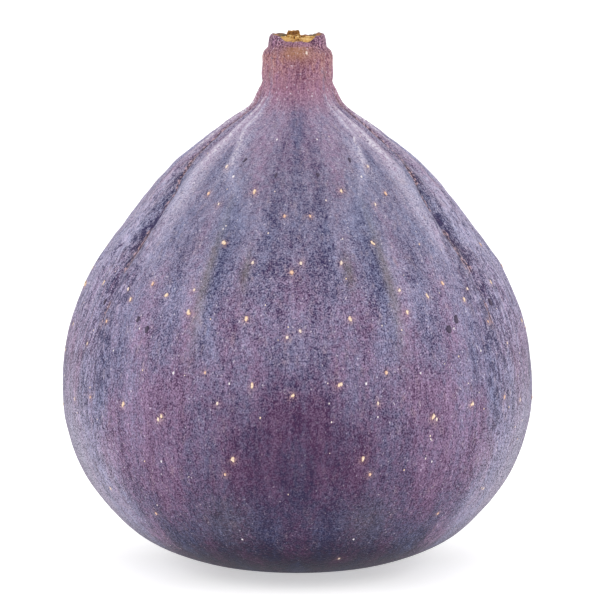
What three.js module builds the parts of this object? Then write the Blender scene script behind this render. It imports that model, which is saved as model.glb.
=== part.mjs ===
// A ripe purple fig, picked with a short stub of stem, standing on its flat base.
// The fruit grew as one piece: a pear-shaped body under a short neck, veined over the
// shoulder, with the broken stem on top and the scaly eye (ostiole) sunk in the base.
// Millimetres, +Z up, origin on the base below the neck. The front faces -Y.

import * as THREE from "three";

const { smoothstep, radToDeg } = THREE.MathUtils;

// Driving dimensions
const bellyRadius = 28.15; // widest, a third of the way up
const bellyHeight = 21.2;
const neckRadius = 4.1;
const stemHeight = 62.1; // where the skin is pinched in under the lip of the broken stem
const rimHeight = 63.6; // top of that lip
const footRadius = 6.2; // outer edge of the flat ring that the fruit rests on
const eyeRadius = 2.9; // inner edge of that ring

// Departures from the turned shape
const depthShare = 0.975; // depth of the belly from front to back, for its width
const lobeShare = 0.011; // shallow lobes round the belly, for their distance from the middle
const veinCount = 34; // fine ribs that run from the neck over the shoulder
const veinRelief = 0.13;
const bractCount = 10; // scales in each row round the eye
const bractTip = 0.4; // how far a scale's point stands out of its row
const stemLump = 0.07;
const rimDip = 0.7; // the stem broke off lower at the front
const rimDipEdge = [24, 52]; // degrees to each side where that starts and stops to rise
const backDip = 0.3;

// Ridges (height > 0) and creases (height < 0) that stand out among the veins, alike on both
// sides. Each lies at this angle from the front, in degrees, turns to the back by its flare
// on the way up to the neck, and fades in and out between the four heights of its span.
const flareSpan = [43, 55];
const folds = [
  { angle: 21, flare: 26, width: 3, height: 0.3, span: [40, 48, 55.5, 58] },
  { angle: 54, flare: 2, width: 4, height: 0.4, span: [36, 45, 55, 57.5] },
  { angle: 62, flare: 18, width: 2.2, height: -0.3, span: [28, 38, 55, 57.8] },
  { angle: 76, flare: 12, width: 5, height: 0.4, span: [34, 44, 56.8, 58.2] },
  { angle: 100.6, flare: 0, width: 2.4, height: 0.34, span: [37, 46, 54, 58] },
  { angle: 121.8, flare: 0, width: 2.2, height: -0.3, span: [30, 38, 50, 54] },
  { angle: 137.6, flare: 0, width: 2.6, height: 0.36, span: [36, 46, 54, 58] },
  { angle: 164.1, flare: 0, width: 2.4, height: 0.3, span: [38, 47, 54, 58] },
  { angle: 53, flare: 0, width: 4.5, height: -0.14, span: [57.5, 59.5, 61.2, 62] }, // on the neck
  { angle: 76, flare: 0, width: 22, height: 0.14, span: [57.8, 58.8, 60.8, 61.8] },
  { angle: 142, flare: 0, width: 9, height: -0.2, span: [56, 58, 61, 61.8] },
];
const lobeSpan = [1, 9, 40, 54];
const veinSpan = [24, 46, 53.5, 57];

// How finely the shape is divided
const stepsPerVein = 4; // groove, slope, crest, slope
const stepsPerKnot = 2;

// Outline as [radius, height], from the middle of the base to the middle of the broken stem

const eyeOutline = [
  [0, 2.0],
  [0.32, 1.8],
  [0.72, 1.35], // foot and tip of the inner row of bracts
  [0.74, 1.08],
  [1.56, 0.96], // foot and tip of the outer row
  [1.58, 0.68],
  [2.4, 0.52],
  [eyeRadius, 0],
];

const skinKnots = [
  [footRadius, 0],
  [12.9, 1.05],
  [19.7, 4.15],
  [25, 9.8],
  [27.45, 15.6],
  [bellyRadius, bellyHeight],
  [27.3, 28.2],
  [24.7, 35],
  [20.3, 41.1],
  [14.4, 48],
  [8.85, 52.5],
  [4.9, 55.6],
  [neckRadius, 59.3],
  [4.1, 61],
];

const stemOutline = [
  [3.95, 61.65],
  [3.5, stemHeight],
  [3.42, rimHeight - 0.75],
  [3.3, rimHeight - 0.25],
  [3.05, rimHeight],
  [2.7, rimHeight - 0.2],
  [1.9, rimHeight - 0.45], // broken flesh, slightly dished
  [1.15, rimHeight - 0.3],
  [0.75, rimHeight + 0.25], // torn pith
  [0, rimHeight + 0.4],
];

function figOutline() {
  const toPoint = ([radius, height]) => new THREE.Vector2(radius, height);
  const skin = new THREE.SplineCurve(skinKnots.map(toPoint));
  const skinPoints = skin.getPoints((skinKnots.length - 1) * stepsPerKnot);
  return [...eyeOutline.map(toPoint), ...skinPoints, ...stemOutline.map(toPoint)];
}

// 1 between the span's two middle heights and 0 outside the outer two
function within(height, [low, lowFull, highFull, high]) {
  return smoothstep(height, low, lowFull) * (1 - smoothstep(height, highFull, high));
}

// Share of the radius by which the belly stands out of the turned shape
function lobes(angle, height) {
  const flattening = (depthShare - 1) * Math.cos(angle) ** 2;
  const waves = lobeShare * (Math.cos(3 * angle) - Math.cos(5 * angle));
  return (flattening + waves) * within(height, lobeSpan);
}

// Grooves at the front and at every whole share of the turn, with ribs between them
function veins(angle, height) {
  const strength = 0.75 + 0.25 * Math.cos(4 * angle);
  return -veinRelief * strength * Math.cos(veinCount * angle) * within(height, veinSpan);
}

function foldRelief(angle, height) {
  let relief = 0;
  for (const fold of folds) {
    const middle = fold.angle + fold.flare * smoothstep(height, ...flareSpan);
    const away = (radToDeg(Math.abs(angle)) - middle) / fold.width;
    relief += fold.height * Math.exp(-away * away) * within(height, fold.span);
  }
  return relief;
}

// Each row's edge swings in and out, and the inner row sits between the scales of the outer
function bractTips(angle, radius) {
  const onEdge = smoothstep(radius, 0.35, 0.7) * (1 - smoothstep(radius, 1.6, 2.3));
  const turn = radius < 1 ? Math.PI / 2 : 0;
  const swing = Math.abs(Math.cos((bractCount / 2) * angle + turn));
  return bractTip * Math.min(radius, 1) * (0.5 - swing) * onEdge;
}

// Lumps of torn flesh, and the dips in the rim
function brokenStem(angle, radius, height) {
  const lumps = 0.5 * Math.cos(3 * angle + 0.8) + 0.5 * Math.cos(7 * angle - 1.1);
  const away = radToDeg(Math.abs(angle));
  const dip = rimDip * (1 - smoothstep(away, ...rimDipEdge)) + backDip * smoothstep(away, 120, 160);
  const onRim = smoothstep(height, stemHeight, rimHeight - 0.3) * smoothstep(radius, 0.8, 2.6);
  return stemLump * lumps * smoothstep(radius, 0, 0.8) - dip * onRim;
}

// Moves a point of the turned shape to where it grew
function grown(angle, radius, height) {
  if (height > stemHeight) return [radius, height + brokenStem(angle, radius, height)];
  if (radius < eyeRadius) return [radius + bractTips(angle, radius), height];
  const relief = veins(angle, height) + foldRelief(angle, height);
  return [radius * (1 + lobes(angle, height)) + relief, height];
}

function figGeometry() {
  const geometry = new THREE.LatheGeometry(figOutline(), veinCount * stepsPerVein);
  geometry.rotateX(Math.PI / 2); // turned about Y, stood up along Z
  geometry.deleteAttribute("normal");
  geometry.deleteAttribute("uv");

  const places = geometry.getAttribute("position");
  const place = new THREE.Vector3();
  for (let i = 0; i < places.count; i++) {
    place.fromBufferAttribute(places, i);
    const angle = Math.atan2(place.x, -place.y); // 0 at the front, positive to the right
    const [radius, height] = grown(angle, Math.hypot(place.x, place.y), place.z);
    places.setXYZ(i, radius * Math.sin(angle), -radius * Math.cos(angle), height);
  }
  return geometry;
}

const skin = new THREE.MeshStandardMaterial({ color: 0x7b6c8c, roughness: 0.6, metalness: 0 });
const fig = new THREE.Mesh(figGeometry(), skin);
fig.name = "fig";

const fruit = new THREE.Group();
fruit.add(fig);

export default fruit;
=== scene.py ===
import math
import random

import bmesh
import bpy
from mathutils import Matrix, Vector, noise
from mathutils.bvhtree import BVHTree
from mathutils.kdtree import KDTree


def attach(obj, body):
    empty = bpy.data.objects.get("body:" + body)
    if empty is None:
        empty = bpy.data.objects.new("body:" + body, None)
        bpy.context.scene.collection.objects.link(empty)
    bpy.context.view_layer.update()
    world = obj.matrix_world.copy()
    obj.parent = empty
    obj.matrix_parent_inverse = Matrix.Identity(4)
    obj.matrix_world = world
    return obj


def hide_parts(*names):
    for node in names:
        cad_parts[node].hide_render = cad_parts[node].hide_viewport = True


# A ripe purple fig with a bloomy skin, a broken stub of stem and a scaly eye in its base.
# Sizes are in millimetres. Heights run up from the surface that the fruit stands on, and
# angles are in degrees from the front, which faces -Y. Most of what is set by an angle lies
# on both sides.

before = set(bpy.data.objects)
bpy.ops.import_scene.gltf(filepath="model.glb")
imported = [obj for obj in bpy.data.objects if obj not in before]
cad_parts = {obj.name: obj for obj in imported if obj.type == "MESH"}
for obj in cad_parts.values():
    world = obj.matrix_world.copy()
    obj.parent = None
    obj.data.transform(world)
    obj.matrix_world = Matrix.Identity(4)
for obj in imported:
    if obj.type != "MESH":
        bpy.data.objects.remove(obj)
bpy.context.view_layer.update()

mm = 0.001  # in metres


def smoothstep(value, low, high):
    share = min(max((value - low) / (high - low), 0), 1)
    return share * share * (3 - 2 * share)


# 1 between the span's two middle values and 0 outside the outer two
def within(value, span):
    low, lowFull, highFull, high = span
    return smoothstep(value, low, lowFull) * (1 - smoothstep(value, highFull, high))


def bell(value, middle, width):
    return math.exp(-((value - middle) / width) ** 2)


# Smooth noise from about -1 to 1, with features of the given size
def lumps(place, size, seed=0):
    return noise.noise(Vector(place) / size + Vector((seed, seed, seed)) * 7.3)


def srgb(hexColour):
    channels = [int(hexColour[i:i + 2], 16) / 255 for i in (1, 3, 5)]
    linear = [c / 12.92 if c <= 0.04045 else ((c + 0.055) / 1.055) ** 2.4 for c in channels]
    return (*linear, 1)


# Catmull-Rom curve through the knots, with points about one spacing apart
def curveThrough(knots, spacing):
    knots = [Vector(knot) for knot in knots]
    points = []
    for i in range(len(knots) - 1):
        start, end = knots[i], knots[i + 1]
        before, after = knots[max(i - 1, 0)], knots[min(i + 2, len(knots) - 1)]
        leave, arrive = (end - before) / 2, (after - start) / 2
        steps = max(2, round((end - start).length / spacing))
        for step in range(steps):
            t = step / steps
            cube = (2 * start - 2 * end + leave + arrive) * t ** 3
            square = (3 * end - 3 * start - 2 * leave - arrive) * t ** 2
            points.append(cube + square + leave * t + start)
    return points + [knots[-1]]


# Turns an outline of (radius, height) points, from axis to axis, about the upright axis.
# A layer keeps how far along the outline each point is.
def turnOutline(outline, segments):
    bm = bmesh.new()
    along = bm.verts.layers.float.new("along")
    verts = []
    length = 0
    for i, point in enumerate(outline):
        length += (point - outline[max(i - 1, 0)]).length
        vert = bm.verts.new((0, -point.x * mm, point.y * mm))
        vert[along] = length
        verts.append(vert)
    edges = [bm.edges.new(pair) for pair in zip(verts, verts[1:])]
    spun = {"axis": (0, 0, 1), "angle": 2 * math.pi, "steps": segments}
    bmesh.ops.spin(bm, geom=verts + edges, use_merge=True, **spun)
    bmesh.ops.remove_doubles(bm, verts=bm.verts, dist=1e-7)
    return bm


def toPolar(place):
    return math.atan2(place.x, -place.y), math.hypot(place.x, place.y) / mm, place.z / mm


def fromPolar(angle, radius, height):
    return Vector((radius * math.sin(angle), -radius * math.cos(angle), height)) * mm


def finishPiece(name, bm, material):
    bmesh.ops.recalc_face_normals(bm, faces=bm.faces)
    mesh = bpy.data.meshes.new(name)
    bm.to_mesh(mesh)
    bm.free()
    mesh.shade_smooth()
    mesh.materials.append(material)
    piece = bpy.data.objects.new(name, mesh)
    bpy.context.collection.objects.link(piece)
    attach(piece, "root")
    print(f"{name}: {len(mesh.polygons)} faces")
    return piece


def newMaterial(name):
    material = bpy.data.materials.new(name)
    material.use_nodes = True
    material.node_tree.nodes.clear()
    return material


# Adds a node with its settings, and its inputs as values or links, and gives one output
def addNode(material, kind, inputs=None, output=0, **settings):
    tree = material.node_tree
    node = tree.nodes.new("ShaderNode" + kind)
    for name, value in settings.items():
        setattr(node, name, value)
    for name, value in (inputs or {}).items():
        if isinstance(value, bpy.types.NodeSocket):
            tree.links.new(value, node.inputs[name])
        else:
            node.inputs[name].default_value = value
    return node.outputs[output] if node.outputs else None


# Sets the stops of the ramp that a colour comes from, as (position, hex colour) pairs
def setStops(colour, stops):
    elements = colour.node.color_ramp.elements
    while len(elements) < len(stops):
        elements.new(1)
    for element, (position, hexColour) in zip(elements, stops):
        element.position = position
        element.color = srgb(hexColour)


print("stage 1: skin")

fruit = {
    "bellyRadius": 28.15,
    "bellyHeight": 21.2,
    "neckRadius": 4.1,
    "stemHeight": 62.1,  # where the skin is pinched in under the lip of the broken stem
    "rimHeight": 63.6,
    "footRadius": 6.2,  # outer and inner edge of the flat ring that the fruit rests on
    "eyeRadius": 2.9,
    "depthShare": 0.975,  # depth from front to back, for the width
    "lobeShare": 0.011,  # shallow lobes round the belly, for the radius
    "lobeSpan": (1, 9, 40, 54),
    "veinCount": 34,
    "veinRelief": 0.13,
    "veinSpan": (24, 46, 53.5, 57),
    "flareSpan": (43, 55),  # where the folds turn to the sides
    "stemLump": 0.07,
    "rimDip": 0.7,  # the stem broke off lower at the front
    "rimDipEdge": (24, 52),
    "backDip": 0.3,
    "backDipEdge": (120, 160),
    "segments": 34 * 12,  # twelve to a vein
    "spacing": 0.45,  # between rings
    "stemSpacing": 0.15,
}

# Outline from the middle of the eye to the middle of the broken stem, as (radius, height)
eyeOutline = [(0, 1.9), (0.7, 1.85), (1.5, 1.6), (2.2, 1.1), (2.65, 0.5), (fruit["eyeRadius"], 0)]

skinKnots = [
    (fruit["footRadius"], 0),
    (12.9, 1.05),
    (19.7, 4.15),
    (25, 9.8),
    (27.45, 15.6),
    (fruit["bellyRadius"], fruit["bellyHeight"]),
    (27.3, 28.2),
    (24.7, 35),
    (20.3, 41.1),
    (14.4, 48),
    (8.85, 52.5),
    (4.9, 55.6),
    (fruit["neckRadius"], 59.3),
    (4.1, 61),
    (3.95, 61.65),
]

stemKnots = [
    (3.5, fruit["stemHeight"]),
    (3.42, fruit["rimHeight"] - 0.75),
    (3.3, fruit["rimHeight"] - 0.25),
    (3.05, fruit["rimHeight"]),
    (2.8, fruit["rimHeight"] - 0.15),
    (2.6, fruit["rimHeight"] - 0.6),
    (1.9, fruit["rimHeight"] - 1),
    (0, fruit["rimHeight"] - 1),
]

# Ridges (height > 0) and creases (height < 0) among the veins. Towards the neck they spread
# to the sides by their flare. They fade in and out between the four heights of their span.
folds = [
    {"angle": 21, "flare": 26, "width": 3, "height": 0.3, "span": (40, 48, 55.5, 58)},
    {"angle": 54, "flare": 2, "width": 4, "height": 0.4, "span": (36, 45, 55, 57.5)},
    {"angle": 62, "flare": 18, "width": 2.2, "height": -0.3, "span": (28, 38, 55, 57.8)},
    {"angle": 76, "flare": 12, "width": 5, "height": 0.4, "span": (34, 44, 56.8, 58.2)},
    {"angle": 100.6, "flare": 0, "width": 2.4, "height": 0.34, "span": (37, 46, 54, 58)},
    {"angle": 121.8, "flare": 0, "width": 2.2, "height": -0.3, "span": (30, 38, 50, 54)},
    {"angle": 137.6, "flare": 0, "width": 2.6, "height": 0.36, "span": (36, 46, 54, 58)},
    {"angle": 164.1, "flare": 0, "width": 2.4, "height": 0.3, "span": (38, 47, 54, 58)},
    {"angle": 53, "flare": 0, "width": 4.5, "height": -0.14, "span": (57.5, 59.5, 61.2, 62)},
    {"angle": 76, "flare": 0, "width": 22, "height": 0.14, "span": (57.8, 58.8, 60.8, 61.8)},
    {"angle": 142, "flare": 0, "width": 9, "height": -0.2, "span": (56, 58, 61, 61.8)},
]


def degreesOff(fold, angle, height):
    middle = fold["angle"] + fold["flare"] * smoothstep(height, *fruit["flareSpan"])
    return abs(math.degrees(angle)) - middle


def foldAt(fold, angle, height):
    return bell(degreesOff(fold, angle, height), 0, fold["width"]) * within(height, fold["span"])


def lobes(angle, height):
    flattening = (fruit["depthShare"] - 1) * math.cos(angle) ** 2
    waves = fruit["lobeShare"] * (math.cos(3 * angle) - math.cos(5 * angle))
    return (flattening + waves) * within(height, fruit["lobeSpan"])


def veins(angle, height):
    strength = 0.75 + 0.25 * math.cos(4 * angle)
    wave = math.cos(fruit["veinCount"] * angle)
    return -fruit["veinRelief"] * strength * wave * within(height, fruit["veinSpan"])


def brokenStem(angle, radius, height):
    waves = 0.5 * math.cos(3 * angle + 0.8) + 0.5 * math.cos(7 * angle - 1.1)
    ragged = lumps((math.sin(angle) * 4, math.cos(angle) * 4, radius), 0.7, 8)
    degrees = abs(math.degrees(angle))
    dip = fruit["rimDip"] * (1 - smoothstep(degrees, *fruit["rimDipEdge"]))
    dip += fruit["backDip"] * smoothstep(degrees, *fruit["backDipEdge"])
    onRim = smoothstep(height, fruit["stemHeight"], fruit["rimHeight"] - 0.3)
    return fruit["stemLump"] * waves + onRim * (0.12 * ragged - dip)


# Fine wrinkles that run with the veins, small bumps and shallow dents. Those that have a ring
# are laid out on a ring of that radius, so that they narrow with the neck, and slope is how
# fast they change along the veins, for how fast they do across them.
shoulder = (20, 46, 60, 63)
body = (0.5, 6, 50, 58)
wrinkles = [
    {"size": 0.55, "depth": 0.05, "heights": shoulder, "ring": 14, "slope": 0.1, "seed": 1},
    {"size": 1.6, "depth": 0.09, "heights": shoulder, "ring": 14, "slope": 0.12, "seed": 2},
    {"size": 2.1, "depth": 0.16, "heights": shoulder, "seed": 10},
    {"size": 2.1, "depth": 0.03, "heights": body, "seed": 10},
    {"size": 5, "depth": 0.07, "heights": body, "seed": 3},
]


def wrinkleRelief(angle, radius, height):
    relief = 0
    for wrinkle in wrinkles:
        ring = wrinkle.get("ring", radius)
        up = height * wrinkle.get("slope", 1)
        place = (ring * math.sin(angle), -ring * math.cos(angle), up)
        depth = wrinkle["depth"] * within(height, wrinkle["heights"])
        relief += depth * lumps(place, wrinkle["size"], wrinkle["seed"])
    return relief


# What the skin's material reads at each place
toneNames = (
    "bloomAndShading",  # how much pale wax there is, with painted shade and highlight in places
    "mottle",  # how much it varies with its patterns
    "coarse",  # and with the ripples
    "plum",  # blue where it is negative
    "ochre",
    "olive",
    # chalky wax, which at the sides is also painted sheen
    "chalk",
    "crease",  # how deep it lies in a crease, which sets the painted shade there
    "creaseOff",  # how far it is from the middle of the nearest one
    "ridge",  # how high it lies on a ridge, near the neck, which sets the painted highlight on its crest
    "ridgeOff",
)

# Tones of whole stretches of the skin, which fade in and out between the four degrees and
# heights of their spans
everywhere = (-2, -1, 200, 201)
below = (-2, -1)
above = (90, 91)
zones = [
    {"plum": 0.12, "mottle": 0.78},
    {"heights": (*below, 0, 1.5), "bloomAndShading": 0.2},
    {"heights": (-2, 26, *above), "bloomAndShading": 0.4},
    {"heights": (2, 6, 16, 24), "bloomAndShading": 0.1},
    {"heights": (26, 50, *above), "bloomAndShading": 0.06},
    {"heights": (34, 44, *above), "plum": -0.16},
    {"heights": (55, 58, *above), "plum": 0.4},
    {"heights": (14, 26, *above), "mottle": 0.16},
    {"heights": (34, 46, 58, 60), "mottle": -0.35},
    {"heights": (54, 59, *above), "mottle": 0.2},
    {"heights": (32, 42, 52, 56), "coarse": 0.5},
    {"degrees": (36, 52, 60, 72), "heights": (0.5, 3, 16, 24), "mottle": 0.35},
    {"degrees": (46, 60, 80, 98), "heights": (1, 5, 40, 52), "coarse": 1.5},
    {"degrees": (56, 68, 104, 118), "mottle": 0.45},
]

# Soft patches, on both sides of the front and again at the back. Wide is in degrees and tall
# in millimetres.
stains = [
    # the broad ones
    # partly painted shade: the middle of the front has less wax and is darker, besides being more plum
    {"angle": 0, "height": 18, "wide": 23, "tall": 10, "plum": 0.6, "bloomAndShading": -0.3, "mottle": -0.5},
    {"angle": 0, "height": 4, "wide": 40, "tall": 4, "plum": -0.4},
    {"angle": 32, "height": 10, "wide": 20, "tall": 5, "bloomAndShading": 0.08},
    # the chalky patches in the next three are partly painted sheen, a pale edge where the skin turns away
    {"angle": 64, "height": 10, "wide": 13, "tall": 7, "bloomAndShading": 0.15, "chalk": 0.08},
    {"angle": 76, "height": 13, "wide": 12, "tall": 11, "plum": 0.1, "bloomAndShading": -0.14, "chalk": 0.4},
    {"angle": 57, "height": 12, "wide": 5, "tall": 7, "bloomAndShading": 0.08, "chalk": 0.15},
    {"angle": 60, "height": 6, "wide": 13, "tall": 4, "bloomAndShading": 0.4},
    {"angle": 77, "height": 34, "wide": 10, "tall": 9, "bloomAndShading": 0.14},
    # painted shade: less wax low at the middle of the front, darker towards the foot
    {"angle": 0, "height": 4, "wide": 26, "tall": 3.5, "bloomAndShading": -0.15},
    {"angle": 14, "height": 16, "wide": 7, "tall": 6, "bloomAndShading": -0.1},
    {"angle": 14, "height": 26, "wide": 6, "tall": 4, "bloomAndShading": 0.13},
    {"angle": 28, "height": 34.5, "wide": 5, "tall": 5, "bloomAndShading": 0.15},
    {"angle": 37, "height": 22, "wide": 8, "tall": 8, "plum": 0.75},
    {"angle": 50, "height": 19, "wide": 6, "tall": 8, "plum": 0.4},
    {"angle": 31, "height": 13, "wide": 10, "tall": 4, "plum": 0.25, "bloomAndShading": -0.04},
    {"angle": 0, "height": 31, "wide": 12, "tall": 3, "bloomAndShading": 0.06},
    {"angle": 0, "height": 46, "wide": 13, "tall": 9, "plum": -0.2, "bloomAndShading": -0.18},
    {"angle": 52, "height": 37, "wide": 13, "tall": 9, "plum": -0.4, "bloomAndShading": 0.05},
    {"angle": 63, "height": 15, "wide": 7, "tall": 6, "bloomAndShading": 0.09},
    {"angle": 65, "height": 38, "wide": 11, "tall": 10, "bloomAndShading": -0.16},
    {"angle": 29, "height": 5.5, "wide": 4, "tall": 2, "plum": 0.7},
    {"angle": 24, "height": 8.5, "wide": 2.5, "tall": 3, "plum": -0.7},
    {"angle": 42, "height": 14, "wide": 7, "tall": 6, "bloomAndShading": -0.07},
    {"angle": 57, "height": 16, "wide": 2.4, "tall": 4, "plum": 0.9, "bloomAndShading": -0.06},
    {"angle": 68, "height": 47.4, "wide": 1.6, "tall": 1.1, "bloomAndShading": -0.5},
    {"angle": 63.5, "height": 41.6, "wide": 1.8, "tall": 2, "bloomAndShading": -0.4},
    # streaks that run with the veins
    {"angle": 9, "height": 46, "wide": 2, "tall": 9, "plum": -0.2, "bloomAndShading": -0.12},
    {"angle": 24, "height": 44, "wide": 5, "tall": 4, "plum": -0.9, "bloomAndShading": -0.06},
    {"angle": 24, "height": 37, "wide": 2, "tall": 5, "plum": -0.7, "bloomAndShading": -0.2},
    {"angle": 27, "height": 37, "wide": 1.6, "tall": 7, "olive": 0.4},
    {"angle": 15.5, "height": 38, "wide": 1.4, "tall": 2, "olive": 0.4, "bloomAndShading": -0.1},
    {"angle": 8, "height": 38, "wide": 4, "tall": 3, "plum": 0.3, "bloomAndShading": -0.1},
    {"angle": 38, "height": 40, "wide": 2.5, "tall": 3.5, "plum": -0.4, "bloomAndShading": -0.16},
    {"angle": 43, "height": 48, "wide": 3, "tall": 5, "plum": -0.5, "bloomAndShading": -0.08},
    {"angle": 23, "height": 24, "wide": 3, "tall": 7, "plum": -0.7},
    {"angle": 44, "height": 24, "wide": 3, "tall": 9, "bloomAndShading": 0.12},
    {"angle": 57, "height": 22, "wide": 3, "tall": 11, "plum": -0.6, "bloomAndShading": -0.05},
    {"angle": 20, "height": 9, "wide": 7, "tall": 3, "olive": 0.12},
    # round the neck
    {"angle": 4, "height": 61.9, "wide": 24, "tall": 1, "ochre": 0.6},
    {"angle": 48, "height": 62.8, "wide": 18, "tall": 0.9, "bloomAndShading": -0.1, "plum": 0.3, "mottle": 1.2},
    {"angle": 0, "height": 52, "wide": 14, "tall": 2.2, "bloomAndShading": -0.05, "plum": -0.5},
    {"angle": 47, "height": 53.8, "wide": 4, "tall": 1.8, "bloomAndShading": 0.2, "chalk": 0.4},
    {"angle": 37, "height": 50, "wide": 3, "tall": 2.5, "chalk": 0.35},
    {"angle": 57, "height": 52.5, "wide": 4.5, "tall": 3.5, "bloomAndShading": 0.15, "chalk": 0.45},
    {"angle": 53, "height": 46, "wide": 4.5, "tall": 5, "bloomAndShading": 0.06, "chalk": 0.35},
    {"angle": 86, "height": 56, "wide": 9, "tall": 1.8, "plum": 0.9, "bloomAndShading": -0.15, "ochre": 0.15},
]


def addTones(sums, amounts, share):
    for name in sums:
        sums[name] += amounts.get(name, 0) * share


# The tones that come from the folds, with painted highlight on the ridges and the depth that sets painted
# shade in the creases
def foldTones(angle, radius, height):
    run = abs(math.degrees(angle)) / 9
    broken = 1.1 + 3 * lumps((run, height, 0), 3, 4)  # creases come and go along their run
    narrow = 1 + smoothstep(height, 50, 57) + 0.8 * lumps((0, run, height), 3, 9)  # lines thin out
    sums = {"bloomAndShading": 0, "crease": 0, "creaseOff": 9, "ridge": 0, "ridgeOff": 9}
    for fold in folds:
        relief = fold["height"] * foldAt(fold, angle, height)
        # painted highlight: ridges are paler with their height
        sums["bloomAndShading"] += max(relief, 0) * 0.6
        # the depth that sets the painted shade in the creases
        sums["crease"] += max(-relief, 0) * max(broken, 0)
        sums["ridge"] += max(relief, 0) * smoothstep(height, 47, 51)
        off = math.radians(degreesOff(fold, angle, height)) * radius * narrow
        name = "ridgeOff" if fold["height"] > 0 else "creaseOff"
        if abs(off) < abs(sums[name]):
            sums[name] = off
    return sums


# How much of each tone a place on the skin has
def tones(angle, radius, height):
    degrees = abs(math.degrees(angle))
    sums = dict.fromkeys(toneNames, 0) | foldTones(angle, radius, height)
    for zone in zones:
        share = within(degrees, zone.get("degrees", everywhere))
        addTones(sums, zone, share * within(height, zone.get("heights", everywhere)))
    for stain in stains:
        front = bell(degrees, stain["angle"], stain["wide"]) * bell(height, stain["height"], stain["tall"])
        back = bell(180 - degrees, stain["angle"], stain["wide"])
        back *= bell(height, stain["height"] + 3, stain["tall"])  # a little higher there
        addTones(sums, stain, front + back)
    byEye = (1 - smoothstep(radius, 2.6, 6.5)) * (1 - smoothstep(height, 1, 2))
    addTones(sums, {"plum": 1, "ochre": 0.3}, byEye)
    inBreak = smoothstep(height, 62, 62.4) * (1 - smoothstep(radius, 2.75, 3))
    rot = smoothstep(lumps((degrees / 14, 0, radius * 2), 1, 6), -0.3, 0.2)
    addTones(sums, {"ochre": 1, "olive": rot}, inBreak)
    return sums


def makeSkin(material):
    outline = [Vector(point) for point in eyeOutline] + curveThrough(skinKnots, fruit["spacing"])
    outline += curveThrough(stemKnots, fruit["stemSpacing"])
    bm = turnOutline(outline, fruit["segments"])
    along = bm.verts.layers.float["along"]
    flow = bm.verts.layers.float_vector.new("flow")
    toneLayers = {name: bm.verts.layers.float.new(name) for name in toneNames}
    for vert in bm.verts:
        angle, radius, height = toPolar(vert.co)
        for name, amount in tones(angle, radius, height).items():
            vert[toneLayers[name]] = amount
        reach = 14 + radius / 2  # patterns narrow towards the neck, but less than the skin does
        vert[flow] = Vector((math.sin(angle) * reach, -math.cos(angle) * reach, vert[along])) * mm
        if height > fruit["stemHeight"]:
            height += brokenStem(angle, radius, height)
        elif radius > fruit["eyeRadius"]:
            relief = veins(angle, height) + wrinkleRelief(angle, radius, height)
            relief += sum(fold["height"] * foldAt(fold, angle, height) for fold in folds)
            radius += radius * lobes(angle, height) + relief
        vert.co = fromPolar(angle, radius, height)
    addBakeMap(bm, outline)
    shape = BVHTree.FromBMesh(bm)
    piece = finishPiece("figSkin", bm, material)
    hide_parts("fig")
    return piece, shape


# A map of one sheet, with the seam at the back
def addBakeMap(bm, outline):
    along = bm.verts.layers.float["along"]
    total = sum((b - a).length for a, b in zip(outline, outline[1:]))
    bake = bm.loops.layers.uv.new("OFBake")
    for face in bm.faces:
        middle = face.calc_center_median()
        turn = math.atan2(middle.x, -middle.y)
        for loop in face.loops:
            angle, radius, height = toPolar(loop.vert.co)
            if radius < 1e-4:
                angle = turn
            away = (angle - turn + math.pi) % (2 * math.pi) - math.pi
            loop[bake].uv = (0.5 + (turn + away) / (2 * math.pi), loop.vert[along] / total)


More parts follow.
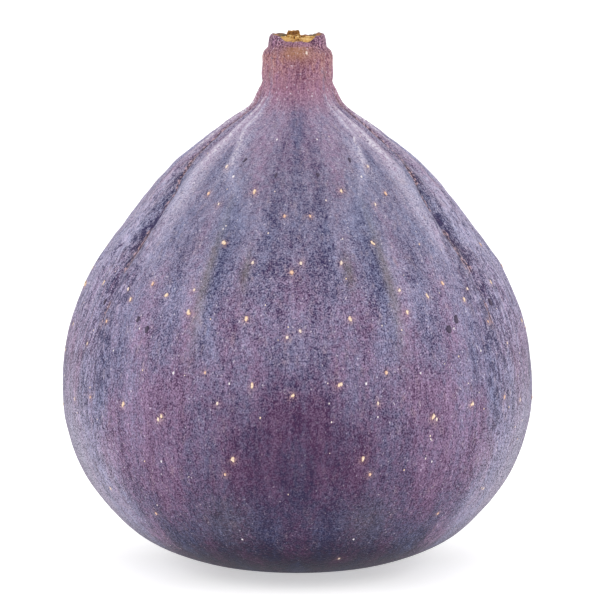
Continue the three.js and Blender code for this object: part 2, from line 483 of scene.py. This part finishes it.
skinLook = {
    # the dark stops near the foot are painted shade at the bottom
    "bare": [  # skin without wax, by height as a share of the whole
        (0.0, "#1e1830"), (0.04, "#181228"), (0.12, "#271e3c"), (0.28, "#2c2040"), (0.53, "#2e244a"),
        (0.75, "#342a50"), (0.85, "#453058"), (0.9, "#60304c"), (0.96, "#683644"), (0.985, "#4a2840"),
    ],
    # here too the dark stops near the foot are painted shade at the bottom
    "wax": [
        (0.0, "#5e567a"), (0.04, "#4c465e"), (0.12, "#7f7696"), (0.28, "#978dae"), (0.53, "#aaa0be"),
        (0.75, "#b0a8c0"), (0.85, "#baaac2"), (0.9, "#b68ea0"), (0.96, "#b88a80"), (0.985, "#a8808c"),
    ],
    "plumBare": "#4c2546",
    "plumWax": "#b088aa",
    "blueBare": "#222a50",
    "blueWax": "#929cc0",
    "hueShare": 0.55,
    # Those on both sides lie alike there, as the folds do, and those on the skin narrow towards
    # the neck. Stretch is how much longer than wide they are, swirl is how much they twist, and
    # wax is how much the cover of wax varies with them. Real wax grains are far finer than the
    # finest here, and are drawn this coarse so that they show.
    "patterns": {
        # washes, streaks and hairlines of wax along the veins
        "broad": {"on": "bothSides", "size": 7, "stretch": 5, "detail": 2, "wax": 0.25},
        "streaks": {"on": "bothSides", "size": 1.8, "stretch": 6, "detail": 3, "wax": 0.38, "swirl": 0.4},
        "lines": {"on": "bothSides", "size": 1, "stretch": 14, "detail": 2, "wax": 0.28},
        "clouds": {"on": "bothSides", "size": 3, "stretch": 1.2, "detail": 3, "wax": 0.3, "swirl": 0.8},
        "dashes": {"on": "skin", "size": 0.4, "stretch": 7, "detail": 1, "wax": 0.45},
        # grains, and the ripples and puckers of the skin under them
        "mottles": {"on": "space", "size": 0.7, "stretch": 1.4, "detail": 1, "wax": 0.12, "swirl": 1.2},
        "specks": {"on": "space", "size": 0.3, "stretch": 1.4, "detail": 0, "wax": 0.25},
        "grain": {"on": "space", "size": 0.16, "stretch": 1.2, "detail": 0, "wax": 1.3},
        "ripples": {"on": "skin", "size": 0.75, "stretch": 1.7, "detail": 2, "swirl": 0.6},
        "puckers": {"on": "space", "size": 0.6, "stretch": 1.5, "detail": 2, "wax": 0.5, "swirl": 2},
        # rubbed streaks, drifts of hue and small marks
        "rubs": {"on": "bothSides", "size": 1.3, "stretch": 5, "detail": 3},
        "hues": {"on": "bothSides", "size": 4, "stretch": 3.3, "detail": 4},
        "tints": {"on": "space", "size": 0.5, "stretch": 1.5, "detail": 2},
        "flecks": {"on": "space", "size": 0.26, "stretch": 1.3, "detail": 1},
        "pits": {"on": "space", "size": 0.5, "stretch": 0.8, "detail": 1},
        "tans": {"on": "skin", "size": 0.9, "stretch": 2.5, "detail": 3},
        "wander": {"on": "skin", "size": 0.9, "stretch": 2.5, "detail": 2},
    },
    "puckered": 5,  # how deep the fine puckers are, for the depth of the grain
    "rubbed": 0.13,  # wax lost in the streaks where it was rubbed off
    "tearAndShadeWidth": 0.2,  # the dark line along the bottom of a crease, partly painted shade
    "tearEdge": 0.5,  # how far from its middle the pale specks beside it reach
    "crestHighlightWidth": 0.4,  # the painted highlight, a pale line along the top of a ridge
    "over": {  # colours laid over the skin, from the lowest up
        "ochre": "#a5764a",
        "olive": "#6a6450",
        # painted shade in the creases, by their depth
        "crease": "#2c2232",
        # chalky wax, partly painted sheen at the sides
        "chalk": "#bcb6c8",
        "tans": "#9c8480",
        "pits": "#32284a",
        "flecks": "#d2c8d4",
        # painted highlight along the top of a ridge
        "crest": "#ccc6d2",
        "edge": "#b89aa4",
        # the dark line in a crease, partly painted shade
        "tear": "#3a2230",
        "halo": "#bd958c",
    },
    "roughness": 0.6,
    "sheen": "#e6e4f0",
    "grainDepth": 0.04,
}


def skinPatterns(material, place):
    flow = addNode(material, "Attribute", output="Vector", attribute_name="flow")
    parts = addNode(material, "SeparateXYZ", {"Vector": flow}).node.outputs
    right = addNode(material, "Math", {0: parts["X"]}, operation="ABSOLUTE")
    bothSides = addNode(material, "CombineXYZ", {"X": right, "Y": parts["Y"], "Z": parts["Z"]})
    spaces = {"bothSides": bothSides, "skin": flow, "space": place}
    patterns = {}
    for name, pattern in skinLook["patterns"].items():
        stretched = addNode(material, "Mapping", {
            "Vector": spaces[pattern["on"]], "Scale": (1, 1, 1 / pattern["stretch"])})
        patterns[name] = addNode(material, "TexNoise", {
            "Vector": stretched, "Scale": 1 / (pattern["size"] * mm), "Detail": pattern["detail"],
            "Distortion": pattern.get("swirl", 0)})
    return patterns


# How much of the skin the wax covers, carrying the painted shade and highlight set in the tones
def waxCoverAndShading(material, tone, patterns):
    patches = 0.0
    for name, pattern in skinLook["patterns"].items():
        if "wax" in pattern:
            centred = addNode(material, "Math", {0: patterns[name], 1: 0.5}, operation="SUBTRACT")
            patches = addNode(material, "Math", {
                0: centred, 1: pattern["wax"], 2: patches}, operation="MULTIPLY_ADD")
    coverAndShading = addNode(material, "Math", {
        0: patches, 1: tone["mottle"], 2: tone["bloomAndShading"]}, operation="MULTIPLY_ADD")
    centred = addNode(material, "Math", {0: patterns["ripples"], 1: 0.5}, operation="SUBTRACT")
    coverAndShading = addNode(material, "Math", {
        0: centred, 1: tone["coarse"], 2: coverAndShading}, operation="MULTIPLY_ADD")
    rubbed = addNode(material, "MapRange", {
        "Value": patterns["rubs"], "From Min": 0.58, "From Max": 0.72, "To Max": -skinLook["rubbed"]})
    return addNode(material, "Math", {
        0: rubbed, 1: tone["mottle"], 2: coverAndShading}, operation="MULTIPLY_ADD", use_clamp=True)


# The colours of bare skin and of wax, which change with the height, with painted shade near the
# foot, and drift between plum, where the hue is high, and blue
def skinColours(material, tone, patterns, place):
    hue = addNode(material, "Math", {
        0: patterns["hues"], 1: 3.8, 2: tone["plum"]}, operation="MULTIPLY_ADD")
    hue = addNode(material, "Math", {0: patterns["tints"], 1: 2.0, 2: hue}, operation="MULTIPLY_ADD")
    tints = {
        "plum": addNode(material, "MapRange", {
            "Value": hue, "From Min": 2.9, "From Max": 3.9, "To Max": skinLook["hueShare"]}),
        "blue": addNode(material, "MapRange", {
            "Value": hue, "From Min": 2.9, "From Max": 1.9, "To Max": skinLook["hueShare"]}),
    }
    height = addNode(material, "SeparateXYZ", {"Vector": place}, output="Z")
    share = addNode(material, "MapRange", {"Value": height, "From Max": fruit["rimHeight"] * mm})
    colours = {}
    for name in ("bare", "wax"):
        colours[name] = addNode(material, "ValToRGB", {"Fac": share})
        setStops(colours[name], skinLook[name])
        for tint, amount in tints.items():
            tinted = {0: amount, 6: colours[name], 7: srgb(skinLook[tint + name.title()])}
            colours[name] = addNode(material, "Mix", tinted, output=2, data_type="RGBA")
    return colours


# A dark line, partly a tear and partly painted shade in the groove, wanders along the bottom of
# each crease, with specks of wax at its edge, and a pale painted highlight runs along each ridge crest
def foldLines(material, tone, patterns):
    away = {}
    for name in ("crease", "ridge"):
        wandering = addNode(material, "Math", {
            0: patterns["wander"], 1: 1.6, 2: tone[name + "Off"]}, operation="MULTIPLY_ADD")
        wandering = addNode(material, "Math", {0: wandering, 1: 0.8}, operation="SUBTRACT")
        away[name] = addNode(material, "Math", {0: wandering}, operation="ABSOLUTE")
    inCrease = addNode(material, "MapRange", {
        "Value": tone["crease"], "From Min": 0.04, "From Max": 0.16})
    onRidge = addNode(material, "MapRange", {"Value": tone["ridge"], "From Min": 0.08, "From Max": 0.3})
    bright = addNode(material, "MapRange", {
        "Value": patterns["specks"], "From Min": 0.48, "From Max": 0.6})
    # the dark line, partly painted shade in the groove
    tear = addNode(material, "MapRange", {
        "Value": away["crease"], "From Min": skinLook["tearAndShadeWidth"], "From Max": 0.0})
    edge = addNode(material, "MapRange", {
        "Value": away["crease"], "From Min": skinLook["tearEdge"], "From Max": skinLook["tearAndShadeWidth"]})
    edge = addNode(material, "Math", {0: edge, 1: bright}, operation="MULTIPLY")
    # painted highlight along the crest, broken into specks
    crest = addNode(material, "MapRange", {
        "Value": away["ridge"], "From Min": skinLook["crestHighlightWidth"], "From Max": 0.0})
    crest = addNode(material, "Math", {0: crest, 1: bright}, operation="MULTIPLY")
    return {
        "crest": addNode(material, "Math", {0: crest, 1: onRidge}, operation="MULTIPLY"),
        "edge": addNode(material, "Math", {0: edge, 1: inCrease}, operation="MULTIPLY"),
        "tear": addNode(material, "Math", {0: tear, 1: inCrease}, operation="MULTIPLY"),
    }


# How much of each colour is laid over the skin. Chalky wax, which at the sides is partly painted
# sheen, and the tint round a pore are as ragged as the grain.
def laidOver(material, tone, patterns, coverAndShading):
    ragged = addNode(material, "MapRange", {
        "Value": patterns["grain"], "From Min": 0.3, "From Max": 0.65, "To Max": 1.6})
    tans = addNode(material, "MapRange", {
        "Value": patterns["tans"], "From Min": 0.58, "From Max": 0.74, "To Max": 0.5})
    flecks = addNode(material, "MapRange", {
        "Value": patterns["flecks"], "From Min": 0.65, "From Max": 0.76})
    return {
        "ochre": tone["ochre"],
        "olive": tone["olive"],
        # painted shade in the creases
        "crease": tone["crease"],
        "chalk": addNode(material, "Math", {0: ragged, 1: tone["chalk"]}, operation="MULTIPLY"),
        "tans": addNode(material, "Math", {0: tans, 1: coverAndShading}, operation="MULTIPLY"),
        "pits": addNode(material, "MapRange", {
            "Value": patterns["pits"], "From Min": 0.68, "From Max": 0.76, "To Max": 0.6}),
        "flecks": addNode(material, "Math", {0: flecks, 1: coverAndShading}, operation="MULTIPLY"),
        "halo": addNode(material, "Math", {0: ragged, 1: tone["halo"]}, operation="MULTIPLY"),
    } | foldLines(material, tone, patterns)


# Ripe fig skin: thin, tough and almost matt, purple under a pale wax that lies in fine grains
# and wears off in patches and streaks that run with the veins; some patches are painted shade and
# highlight
def figSkinMaterial():
    material = newMaterial("waxy fig skin")
    tone = {}
    for name in toneNames + ("halo",):
        tone[name] = addNode(material, "Attribute", output="Fac", attribute_name=name)
    place = addNode(material, "TexCoord", output="Object")
    patterns = skinPatterns(material, place)
    coverAndShading = waxCoverAndShading(material, tone, patterns)
    colours = skinColours(material, tone, patterns, place)
    skin = addNode(material, "Mix", {
        0: coverAndShading, 6: colours["bare"], 7: colours["wax"]}, output=2, data_type="RGBA")
    amounts = laidOver(material, tone, patterns, coverAndShading)
    for name, colour in skinLook["over"].items():
        laid = {0: amounts[name], 6: skin, 7: srgb(colour)}
        skin = addNode(material, "Mix", laid, output=2, data_type="RGBA")

    relief = addNode(material, "Math", {
        0: patterns["puckers"], 1: skinLook["puckered"], 2: patterns["grain"]}, operation="MULTIPLY_ADD")
    bump = addNode(material, "Bump", {
        "Height": relief, "Strength": 0.6, "Distance": skinLook["grainDepth"] * mm})
    shader = addNode(material, "BsdfPrincipled", {
        "Base Color": skin, "Roughness": skinLook["roughness"], "Normal": bump,
        "Sheen Weight": 0.1, "Sheen Roughness": 0.3, "Sheen Tint": srgb(skinLook["sheen"]),
        "Specular IOR Level": 0.14,
    })
    addNode(material, "OutputMaterial", {"Surface": shader})
    return material


figSkin, skinShape = makeSkin(figSkinMaterial())

print("stage 2: pores, broken stem and eye")

# Corky pores in the skin (lenticels). Lobes are the bumps that one is made of, and warmth
# takes it from chalky to tan, and at its end to the dark cork of a scar.
pores = {
    "kinds": {
        "white": {"size": 0.24, "lobes": 1, "warmth": 0.0, "halo": 0},
        "pale": {"size": 0.28, "lobes": 2, "warmth": 0.25, "halo": 0.25},
        "pink": {"size": 0.32, "lobes": 1, "warmth": 0.6, "halo": 0.35},
        "ochre": {"size": 0.35, "lobes": 3, "warmth": 0.38, "halo": 0.4},
        "scar": {"size": 0.55, "lobes": 2, "warmth": 1.0, "halo": 0},
        "nick": {"size": 0.36, "lobes": 3, "warmth": 1.0, "halo": 0},
    },
    "paired": [  # on both sides, as angle, height and kind
        (5, 44, "pink"), (10.6, 25.7, "ochre"), (13.4, 33, "ochre"), (14, 39, "pale"),
        (14, 52, "white"), (16, 17, "ochre"), (17, 6.6, "white"), (16.5, 25.7, "white"),
        (18, 15, "pink"), (18.8, 46.6, "ochre"), (19.6, 23.4, "pale"), (22.5, 26.8, "pink"),
        (25, 41, "ochre"), (30, 35.8, "pale"), (30, 33.4, "ochre"), (31, 48, "white"),
        (31, 26.5, "white"), (33, 45, "pale"), (35, 16, "white"), (34, 21.4, "ochre"),
        (35, 21, "pale"), (38, 35, "ochre"), (38, 49, "pale"), (40, 46, "pink"), (42, 31, "scar"),
        (43, 9, "pink"), (44, 31, "white"), (45, 36, "pink"), (46, 32, "scar"), (47, 22.2, "ochre"),
        (52, 34, "ochre"), (53, 28, "white"), (55, 35, "pale"), (60, 31, "pink"), (61, 11, "pale"),
        (62, 22, "pink"), (65, 33, "scar"), (68, 28, "pale"), (71, 35, "ochre"), (73, 21, "pale"),
        (10, 48.4, "nick"), (29.3, 49.8, "nick"),
    ],
    "single": [
        (1, 39, "pale"), (-2, 38, "pink"), (0.4, 31.7, "pale"), (-2.7, 31, "pale"),
        (-1, 24.5, "ochre"), (15, 3.8, "pale"), (16, 61.75, "pale"),
    ],
    "onBack": 60,
    "tiny": 120,
    "tinySize": 0.15,
    "seed": 5,
    "long": 1.45,  # how much longer along the veins than across them
    "rise": 0.25,  # how far one stands out, for its size
    "ragged": 0.7,
    "haloReach": 0.45,
    # colours by warmth
    "edge": [(0, "#c4bac4"), (0.35, "#cfa98a"), (0.7, "#c08a78"), (0.9, "#3c3048")],
    "middle": [(0, "#eee8ec"), (0.35, "#f4e0c4"), (0.7, "#ecc0a8"), (0.9, "#463a52")],
    "crumb": 0.15,
    "roughness": 0.75,
}


# Where the skin lies, and the way it faces
def onSkin(angle, height):
    away = Vector((math.sin(angle), -math.cos(angle), 0))
    place, normal, _, _ = skinShape.ray_cast(Vector((0, 0, height * mm)), away)
    return place, normal if normal.dot(away) > 0 else -normal


def addPore(bm, angle, height, size, warmth):
    place, normal = onSkin(math.radians(angle), height)
    across = Vector((0, 0, 1)).cross(normal).normalized()
    turn = Matrix((across, normal.cross(across), normal)).transposed().to_4x4()
    stretch = Matrix.Diagonal((size / 2, size / 2 * pores["long"], size * pores["rise"], 1))
    made = bmesh.ops.create_uvsphere(bm, u_segments=10, v_segments=5, radius=1)["verts"]
    for vert in made:
        vert[bm.verts.layers.float["core"]] = max(vert.co.z, 0)
        vert[bm.verts.layers.float["warmth"]] = warmth
        vert.co *= 1 + pores["ragged"] * lumps(vert.co, 0.7, angle + height)
    placed = Matrix.Translation(place) @ turn @ stretch @ Matrix.Scale(mm, 4)
    bmesh.ops.transform(bm, matrix=placed, verts=made)
    return place


def makePores(material):
    bm = bmesh.new()
    bm.verts.layers.float.new("core")
    bm.verts.layers.float.new("warmth")
    draw = random.Random(pores["seed"])
    halos = []
    spots = pores["single"] + pores["paired"]
    spots += [(-angle, height, kind) for angle, height, kind in pores["paired"]]
    for _ in range(pores["onBack"]):
        kind = draw.choice(("white", "pale", "pale", "pink", "ochre"))
        spots.append((draw.uniform(80, 280), draw.triangular(4, 54, 32), kind))
    for angle, height, kind in spots:
        look = pores["kinds"][kind]
        angle += draw.uniform(-0.4, 0.4)
        for lobe in range(look["lobes"]):
            size = look["size"] * draw.uniform(0.8, 1.25) * (1 if lobe == 0 else 0.7)
            place = addPore(bm, angle, height, size, look["warmth"] - draw.uniform(0, 0.08))
            angle += draw.uniform(-0.35, 0.35)
            height -= draw.uniform(0.02, 0.16)
        halos.append((place, look["halo"] * draw.uniform(0.6, 1.2)))
    for _ in range(pores["tiny"]):
        size = pores["tinySize"] * draw.uniform(0.7, 1.3)
        addPore(bm, draw.uniform(-180, 180), draw.triangular(4, 56, 24), size, draw.uniform(0, 0.4))
    finishPiece("lenticels", bm, material)
    return halos


# Tints the skin round the pores
def addHalos(halos):
    mesh = figSkin.data
    tint = mesh.attributes.new("halo", "FLOAT", "POINT")
    near = KDTree(len(mesh.vertices))
    for vertex in mesh.vertices:
        near.insert(vertex.co, vertex.index)
    near.balance()
    reach = pores["haloReach"] * mm
    for place, strength in halos:
        for _, index, distance in near.find_range(place, reach * 2.5):
            tint.data[index].value += strength * bell(distance, 0, reach)


# Dry cork of the pores: dull, chalky in the middle and tan to orange at the edge
def poreMaterial():
    material = newMaterial("dry pore cork")
    core = addNode(material, "Attribute", output="Fac", attribute_name="core")
    warmth = addNode(material, "Attribute", output="Fac", attribute_name="warmth")
    edge = addNode(material, "ValToRGB", {"Fac": warmth})
    setStops(edge, pores["edge"])
    middle = addNode(material, "ValToRGB", {"Fac": warmth})
    setStops(middle, pores["middle"])
    place = addNode(material, "TexCoord", output="Object")
    crumb = addNode(material, "TexNoise", {"Vector": place, "Scale": 1 / (pores["crumb"] * mm)})
    share = addNode(material, "Math", {0: crumb, 1: 0.8, 2: core}, operation="MULTIPLY_ADD")
    share = addNode(material, "Math", {0: share, 1: 0.6}, operation="SUBTRACT", use_clamp=True)
    cork = addNode(material, "Mix", {0: share, 6: edge, 7: middle}, output=2, data_type="RGBA")
    bump = addNode(material, "Bump", {"Height": crumb, "Strength": 0.5, "Distance": 0.03 * mm})
    shader = addNode(material, "BsdfPrincipled", {
        "Base Color": cork, "Roughness": pores["roughness"], "Normal": bump})
    addNode(material, "OutputMaterial", {"Surface": shader})
    return material


addHalos(makePores(poreMaterial()))

stem = {
    "fleshRadius": 2.75,
    "fleshHeight": 63.05,
    "fleshDepth": 0.7,
    "segments": 11 * 12,  # twelve to a wedge
    "spacing": 0.12,  # between rings
    "wedges": 11,
    "wedgeStep": 0.16,  # how far a wedge stands out or lies back
    "flakes": [  # angle, distance from the middle, width and height
        (196, 1.9, 2, 1), (150, 1.7, 0.8, 0.45), (228, 1.6, 0.9, 0.5), (175, 1.1, 0.7, 0.6),
        (20, 0.4, 0.6, 0.3), (-65, 0.5, 0.7, 0.42), (80, 0.6, 0.6, 0.36), (125, 0.9, 0.8, 0.5),
        (-110, 1.0, 0.8, 0.4),
    ],
    "flakeThickness": 0.09,
    "crumbs": 16,  # more flakes, small ones, in the middle
    "crumbSize": 0.4,
    "seed": 11,
    "colours": [  # from the deepest tears to the palest fibres
        (0, "#4c3020"), (0.25, "#8c6036"), (0.55, "#be8f4c"), (0.85, "#deb66e"), (1, "#ecd29c"),
    ],
    "fibre": 0.22,
    "roughness": 0.8,
}


# The torn end: wedges of dry flesh between the rim and the pith, each at its own height
def makeStemFlesh(material):
    top = stem["fleshHeight"]
    bottom = top - stem["fleshDepth"]
    outline = [Vector((0, bottom)), Vector((stem["fleshRadius"], bottom))]
    outline.append(Vector((stem["fleshRadius"], top - 0.1)))
    outline += curveThrough([(stem["fleshRadius"] - 0.3, top), (0.3, top)], stem["spacing"])
    outline.append(Vector((0, top)))
    bm = turnOutline(outline, stem["segments"])
    wedge = bm.verts.layers.float.new("wedge")
    for vert in bm.verts:
        angle, radius, height = toPolar(vert.co)
        shift = angle + 0.12 * lumps(vert.co / mm, 0.8, 5)
        number = math.floor((shift / (2 * math.pi) + 0.5) * stem["wedges"])
        step = math.sin(number * 2.3)  # a different one for each wedge
        fibre = lumps((math.cos(angle) * 3, math.sin(angle) * 3, 0), 0.3, 2)
        vert[wedge] = 0.3 + 0.25 * smoothstep(radius, 0.2, 1) + 0.2 * step + 0.2 * fibre
        if height > top - stem["fleshDepth"] / 2:
            rise = stem["wedgeStep"] * step + 0.1 * lumps(vert.co / mm, 0.35, 6)
            height += rise * smoothstep(radius, 0.2, 0.9)
            vert.co.z = height * mm
    finishPiece("stemFlesh", bm, material)


# Torn curls of pith and bark that stand up round the middle of the break
def makeFlakes(material):
    bm = bmesh.new()
    wedge = bm.verts.layers.float.new("wedge")
    draw = random.Random(stem["seed"])
    flakes = list(stem["flakes"])
    for _ in range(stem["crumbs"]):
        width, tall = (stem["crumbSize"] * draw.uniform(0.6, 1.3) for _ in range(2))
        flakes.append((draw.uniform(0, 360), draw.uniform(0.1, 1.1), width, tall))
    for number, (angle, radius, width, tall) in enumerate(flakes):
        made = bmesh.ops.create_grid(bm, x_segments=6, y_segments=4, size=0.5)["verts"]
        tone = draw.uniform(0.25, 0.9)
        for vert in made:
            across, up = vert.co.x, vert.co.y + 0.5
            ragged = 0.35 * lumps((across * 2, number, 0), 0.35, 7)
            bend = 0.2 * up * up + 0.4 * across * across
            vert.co = Vector((across * width * (1 - 0.3 * up), bend, up * (1 + ragged) * tall - 0.1))
            vert[wedge] = tone
        turn = Matrix.Rotation(math.radians(angle), 4, "Z")
        lean = Matrix.Rotation(draw.uniform(-0.2, 0.4), 4, "X")
        place = turn @ Matrix.Translation((0, -radius, stem["fleshHeight"])) @ lean
        bmesh.ops.transform(bm, matrix=Matrix.Scale(mm, 4) @ place, verts=made)
    bmesh.ops.solidify(bm, geom=bm.faces, thickness=stem["flakeThickness"] * mm)
    finishPiece("stemFlakes", bm, material)


# Dry fig wood: pale ochre, fibrous and dull, browner where it tore through the pith
def fleshMaterial():
    material = newMaterial("dry torn stem")
    wedge = addNode(material, "Attribute", output="Fac", attribute_name="wedge")
    place = addNode(material, "TexCoord", output="Object")
    crumb = addNode(material, "TexNoise", {
        "Vector": place, "Scale": 1 / (stem["fibre"] * mm), "Detail": 3, "Roughness": 0.7})
    share = addNode(material, "Math", {0: crumb, 1: 1.5, 2: wedge}, operation="MULTIPLY_ADD")
    share = addNode(material, "Math", {0: share, 1: 0.75}, operation="SUBTRACT", use_clamp=True)
    colour = addNode(material, "ValToRGB", {"Fac": share})
    setStops(colour, stem["colours"])
    bump = addNode(material, "Bump", {"Height": crumb, "Strength": 0.8, "Distance": 0.05 * mm})
    shader = addNode(material, "BsdfPrincipled", {
        "Base Color": colour, "Roughness": stem["roughness"], "Normal": bump})
    addNode(material, "OutputMaterial", {"Surface": shader})
    return material


dryStem = fleshMaterial()
makeStemFlesh(dryStem)
makeFlakes(dryStem)

eye = {
    "rows": [  # from the outside in
        {"count": 8, "radius": 2.85, "width": 1.75, "long": 2.1, "height": 0.3, "lean": 10},
        {"count": 7, "radius": 2.0, "width": 1.4, "long": 1.6, "height": 0.7, "lean": 18},
        {"count": 5, "radius": 1.25, "width": 1.15, "long": 1.25, "height": 1.0, "lean": 28},
    ],
    "thickness": 0.16,
    "curl": 0.8,  # how far the sides of a scale turn in, for its width
    "seed": 4,
    "colours": [  # from the fresh foot of a scale, and its sides with painted shade, to its dry tip
        (0, "#20141f"), (0.3, "#4a2a3e"), (0.65, "#7c4c52"), (0.9, "#a87a66"), (1, "#c09a7c"),
    ],
    "crumb": 0.4,
    "roughness": 0.7,
}


# The scales that close the eye, each row over the one further in, pointing to the middle
def makeEyeScales(material):
    bm = bmesh.new()
    drynessAndShade = bm.verts.layers.float.new("drynessAndShade")
    draw = random.Random(eye["seed"])
    for number, row in enumerate(eye["rows"]):
        for i in range(row["count"]):
            made = bmesh.ops.create_grid(bm, x_segments=8, y_segments=8, size=0.5)["verts"]
            age, size = draw.uniform(-0.15, 0.15), draw.uniform(0.85, 1.1)
            for vert in made:
                across, inward = vert.co.x, vert.co.y + 0.5
                taper = math.sqrt(max(1 - inward ** 2, 0.0)) * 0.95 + 0.05
                bend = eye["curl"] * across * across * row["width"] + 0.12 * inward * inward
                # the sides of a scale are darkened: painted shade between the scales
                vert[drynessAndShade] = inward + age - 1.6 * across * across
                vert.co = Vector((across * row["width"] * taper, inward * row["long"], bend)) * size
            spin = draw.uniform(-0.12, 0.12)
            turn = Matrix.Rotation(2 * math.pi * (i + number / 2 + spin) / row["count"], 4, "Z")
            lean = Matrix.Rotation(math.radians(row["lean"]), 4, "X")
            place = turn @ Matrix.Translation((0, -row["radius"], row["height"])) @ lean
            bmesh.ops.transform(bm, matrix=Matrix.Scale(mm, 4) @ place, verts=made)
    bmesh.ops.solidify(bm, geom=bm.faces, thickness=eye["thickness"] * mm)
    finishPiece("eyeScales", bm, material)


# Thin papery scales, plum at the foot, with rosy brown tips that have dried; the darker sides of each
# scale are painted shade between the scales
def scaleMaterial():
    material = newMaterial("papery eye scales")
    drynessAndShade = addNode(material, "Attribute", output="Fac", attribute_name="drynessAndShade")
    place = addNode(material, "TexCoord", output="Object")
    crumb = addNode(material, "TexNoise", {
        "Vector": place, "Scale": 1 / (eye["crumb"] * mm), "Detail": 3})
    share = addNode(material, "Math", {0: crumb, 1: 0.6, 2: drynessAndShade}, operation="MULTIPLY_ADD")
    share = addNode(material, "Math", {0: share, 1: 0.3}, operation="SUBTRACT", use_clamp=True)
    colour = addNode(material, "ValToRGB", {"Fac": share})
    setStops(colour, eye["colours"])
    bump = addNode(material, "Bump", {"Height": crumb, "Strength": 0.5, "Distance": 0.05 * mm})
    shader = addNode(material, "BsdfPrincipled", {
        "Base Color": colour, "Roughness": eye["roughness"], "Normal": bump})
    addNode(material, "OutputMaterial", {"Surface": shader})
    return material


makeEyeScales(scaleMaterial())

print("stage 3: floor, lights and camera")

studio = {
    "floorRadius": 5,  # metres, as all sizes here
    "floorColour": "#e8e8e8",
    "floorGlow": 0.5,
    "skyStrength": 1.0,
    "lights": [
        {"name": "leftSoftbox", "azimuth": -78, "elevation": 30, "distance": 0.9, "size": 0.5, "power": 2},
        {"name": "rightSoftbox", "azimuth": 78, "elevation": 30, "distance": 0.9, "size": 0.5, "power": 2},
    ],
}

view = {  # millimetres and degrees
    "aim": (0.32, 0, 31.7),
    "elevation": 8,
    "distance": 600,
    "lens": 300.8,
    "sensor": 36,
}


def aroundAim(azimuth, elevation, distance):
    a, e = math.radians(azimuth), math.radians(elevation)
    out = Vector((math.sin(a) * math.cos(e), -math.cos(a) * math.cos(e), math.sin(e)))
    return Vector(view["aim"]) * mm + out * distance, out.to_track_quat("Z", "Y")


def makeFloor():
    bm = bmesh.new()
    bmesh.ops.create_circle(bm, cap_ends=True, segments=64, radius=studio["floorRadius"])
    mesh = bpy.data.meshes.new("floor")
    bm.to_mesh(mesh)
    bm.free()
    floor = bpy.data.objects.new("floor", mesh)
    bpy.context.collection.objects.link(floor)
    material = newMaterial("matt white table")
    shader = addNode(material, "BsdfPrincipled", {
        "Base Color": srgb(studio["floorColour"]), "Roughness": 0.9, "Specular IOR Level": 0.1,
        "Emission Color": (1, 1, 1, 1), "Emission Strength": studio["floorGlow"]})
    addNode(material, "OutputMaterial", {"Surface": shader})
    mesh.materials.append(material)


def makeLights():
    for light in studio["lights"]:
        data = bpy.data.lights.new(light["name"], "AREA")
        data.shape = "DISK"
        data.size = light["size"]
        data.energy = light["power"]
        lamp = bpy.data.objects.new(light["name"], data)
        lamp.rotation_mode = "QUATERNION"
        lamp.location, lamp.rotation_quaternion = aroundAim(
            light["azimuth"], light["elevation"], light["distance"])
        bpy.context.collection.objects.link(lamp)
    sky = bpy.data.worlds.new("white sky")
    sky.use_nodes = True
    background = sky.node_tree.nodes["Background"]
    background.inputs["Color"].default_value = (1, 1, 1, 1)
    background.inputs["Strength"].default_value = studio["skyStrength"]
    bpy.context.scene.world = sky


def makeCamera():
    data = bpy.data.cameras.new("camera")
    data.sensor_width = view["sensor"]
    data.lens = view["lens"]
    data.clip_end = 20
    camera = bpy.data.objects.new("camera", data)
    camera.rotation_mode = "QUATERNION"
    camera.location, camera.rotation_quaternion = aroundAim(0, view["elevation"], view["distance"] * mm)
    bpy.context.collection.objects.link(camera)
    bpy.context.scene.camera = camera


makeFloor()
makeLights()
makeCamera()
bpy.context.scene.view_settings.view_transform = "Standard"
